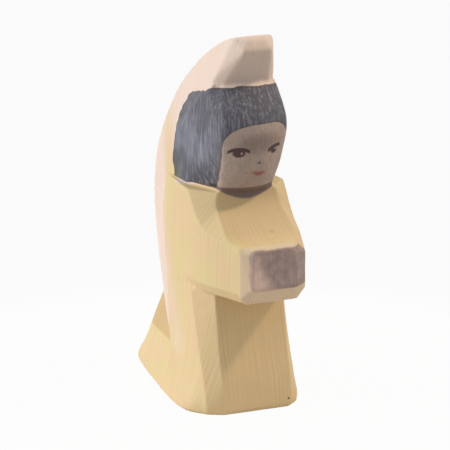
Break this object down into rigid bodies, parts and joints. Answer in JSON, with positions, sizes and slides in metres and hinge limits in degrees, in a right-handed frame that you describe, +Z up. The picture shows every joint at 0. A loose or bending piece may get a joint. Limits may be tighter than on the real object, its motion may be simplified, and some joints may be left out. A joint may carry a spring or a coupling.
{
  "type": "wooden angel figurine",
  "caption": "Standing carved wooden angel with folded crescent wings, washed gown with a train, painted hair and face, and joined hands; a small figure for a shelf, table or nativity scene.",
  "frame": {"origin": "on the floor, under the middle of the figure's length from hands to train and of its breadth at the hem", "axes": "+Z up, the figure faces -Y, +X to the figure's left"},
  "size_m": [0.0464, 0.0876, 0.138],
  "materials": {
    "gown_wash": "maple under a thin yellow wash, satin",
    "skin_wash": "maple under a thin brown wash, matt",
    "hair_wash": "maple under a slate blue wash with brush streaks, matt",
    "bare_maple": "oiled bare maple, satin"
  },
  "bodies": {
    "root": {"skirt": "gown_wash", "bodice": "gown_wash", "right_sleeve": "gown_wash", "left_sleeve": "gown_wash", "hands": "skin_wash", "head": "skin_wash", "hair": "hair_wash", "wings": "bare_maple"}
  },
  "joints": []
}
